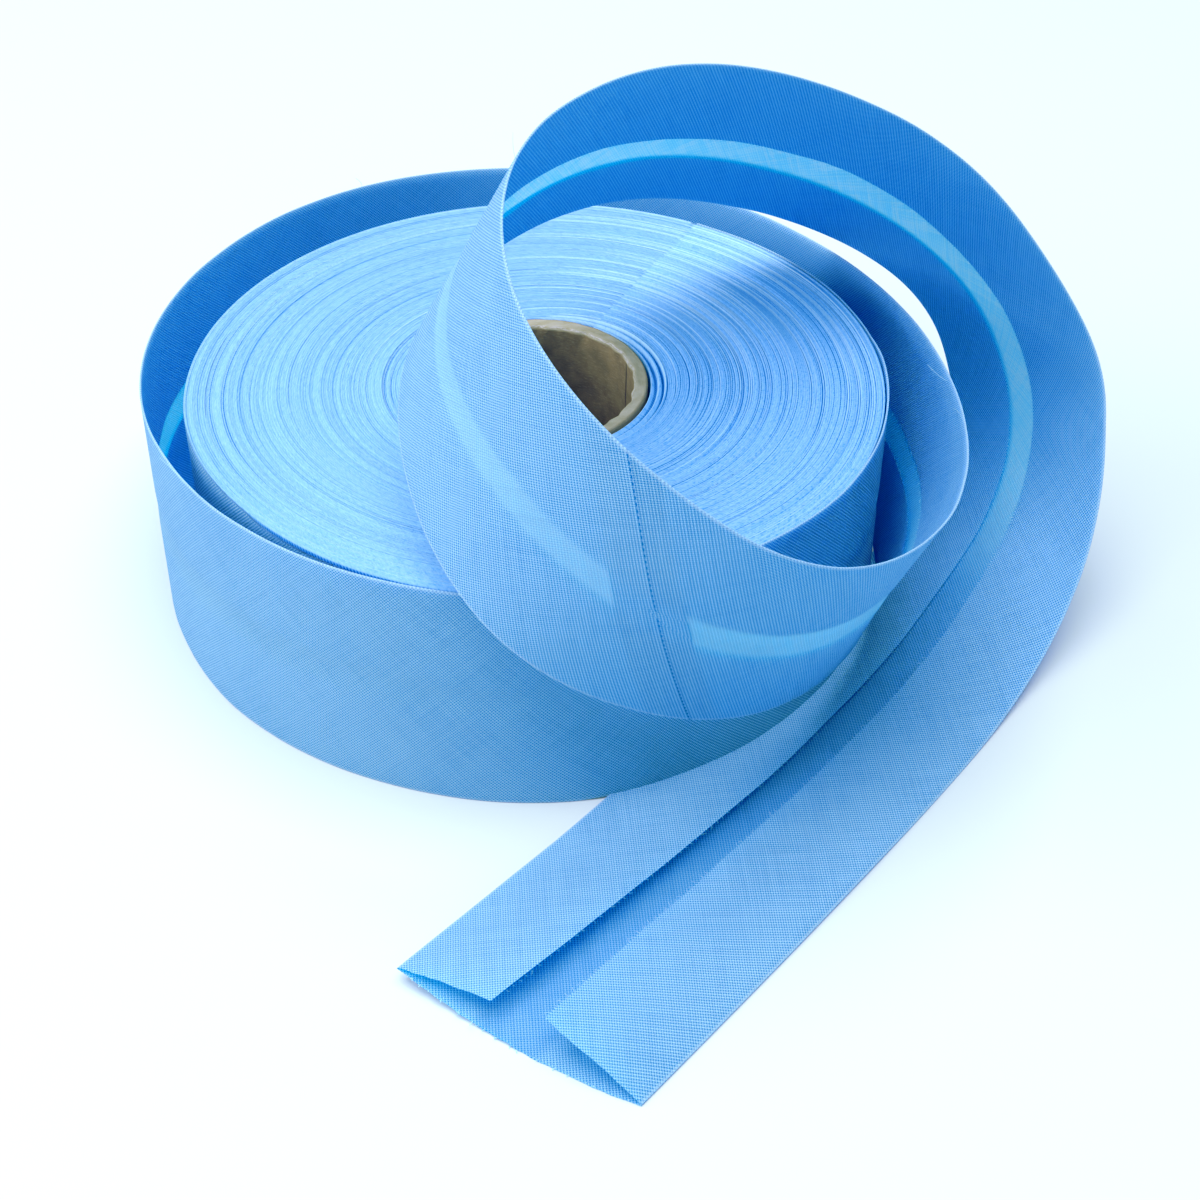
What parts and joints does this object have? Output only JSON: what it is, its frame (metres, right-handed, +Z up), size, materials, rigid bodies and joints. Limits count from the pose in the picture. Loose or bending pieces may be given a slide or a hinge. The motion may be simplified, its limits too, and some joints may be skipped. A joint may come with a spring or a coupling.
{
  "type": "roll of bias binding",
  "caption": "Roll of folded bias binding wound on a card core, its loose end standing off the roll, looped over the top and laid flat with an open cut end.",
  "frame": {"origin": "on the table under the middle of the whole object's box; the roll's axis stands 14.2 mm to the left of it and 21.5 mm behind it", "axes": "+Z up along the roll's axis, +X to the right and -Y towards the cut end, as the roll is looked at"},
  "size_m": [0.163, 0.1844, 0.0984],
  "materials": {
    "cardboard": "matt grey-brown card with torn plies at the rim",
    "rolled_binding": "folded edges of light blue cotton, matt",
    "binding": "light blue plain-weave cotton cut on the bias, matt, slightly sheer"
  },
  "bodies": {
    "root": {"core_tube": "cardboard", "wound_roll": "rolled_binding", "loose_tail": "binding"}
  },
  "joints": []
}
